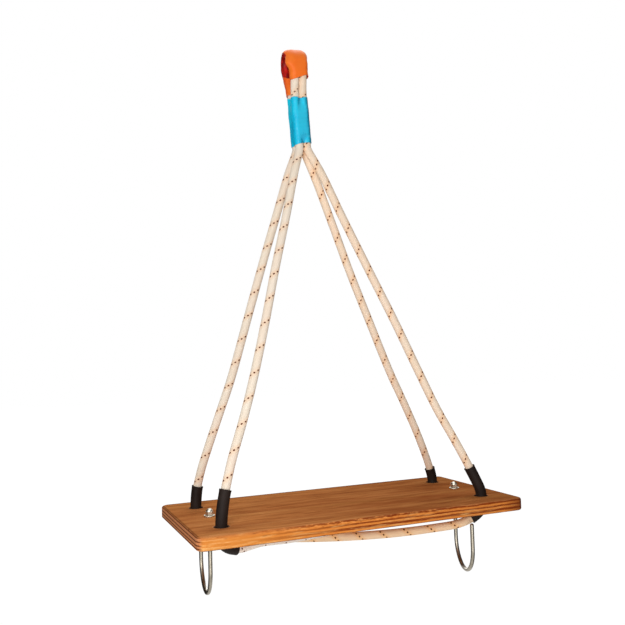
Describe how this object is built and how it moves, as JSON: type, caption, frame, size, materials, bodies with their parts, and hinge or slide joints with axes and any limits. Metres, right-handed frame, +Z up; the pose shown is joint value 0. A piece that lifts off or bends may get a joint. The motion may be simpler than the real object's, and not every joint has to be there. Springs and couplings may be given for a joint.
{
  "type": "hanging rope shelf",
  "caption": "Rope-hung plywood board with rounded corners: crossed rope below, bound rope eye with a protector above, black sleeves at the holes and swivelling steel tool hooks beneath.",
  "frame": {"origin": "bearing point inside the top of the rope eye, where the shelf hangs from a connector", "axes": "+Z up along the hang, +X along the board's length to the picture's right, +Y to the back; the board lies level below the origin"},
  "size_m": [0.5, 0.236, 0.8122],
  "materials": {
    "plywood": "brown stained and varnished plywood",
    "rope": "cream braided sheath with brown flecks",
    "black_shrink": "dull black shrink sleeve",
    "blue_shrink": "glossy light blue shrink sleeve",
    "orange_plastic": "bright orange plastic, half gloss",
    "zinc_steel": "bright zinc-plated steel"
  },
  "bodies": {
    "shelf": {"seat_board": "plywood", "rope_leg_front_left": "rope", "rope_leg_back_left": "rope", "rope_leg_front_right": "rope", "rope_leg_back_right": "rope", "rope_crossing_upper": "rope", "rope_crossing_lower": "rope", "rope_eye_left": "rope", "rope_eye_right": "rope", "sleeve_front_left": "black_shrink", "sleeve_back_left": "black_shrink", "sleeve_front_right": "black_shrink", "sleeve_back_right": "black_shrink", "binding_band": "blue_shrink", "eye_protector": "orange_plastic"},
    "left_tool_hook": {"hook_left": "zinc_steel", "cap_nut_left": "zinc_steel", "upper_washer_left": "zinc_steel", "lower_washer_left": "zinc_steel", "lower_nut_left": "zinc_steel"},
    "right_tool_hook": {"hook_right": "zinc_steel", "cap_nut_right": "zinc_steel", "upper_washer_right": "zinc_steel", "lower_washer_right": "zinc_steel", "lower_nut_right": "zinc_steel"}
  },
  "joints": [
    {"name": "hook_left_swivel", "type": "hinge", "parent": "shelf", "child": "left_tool_hook", "pos_m": [-0.148, 0, -0.6945], "axis": [0, 0, 1], "range_deg": [-35, 225]},
    {"name": "hook_right_swivel", "type": "hinge", "parent": "shelf", "child": "right_tool_hook", "pos_m": [0.26, 0, -0.6945], "axis": [0, 0, 1], "range_deg": [-23, 234]}
  ]
}
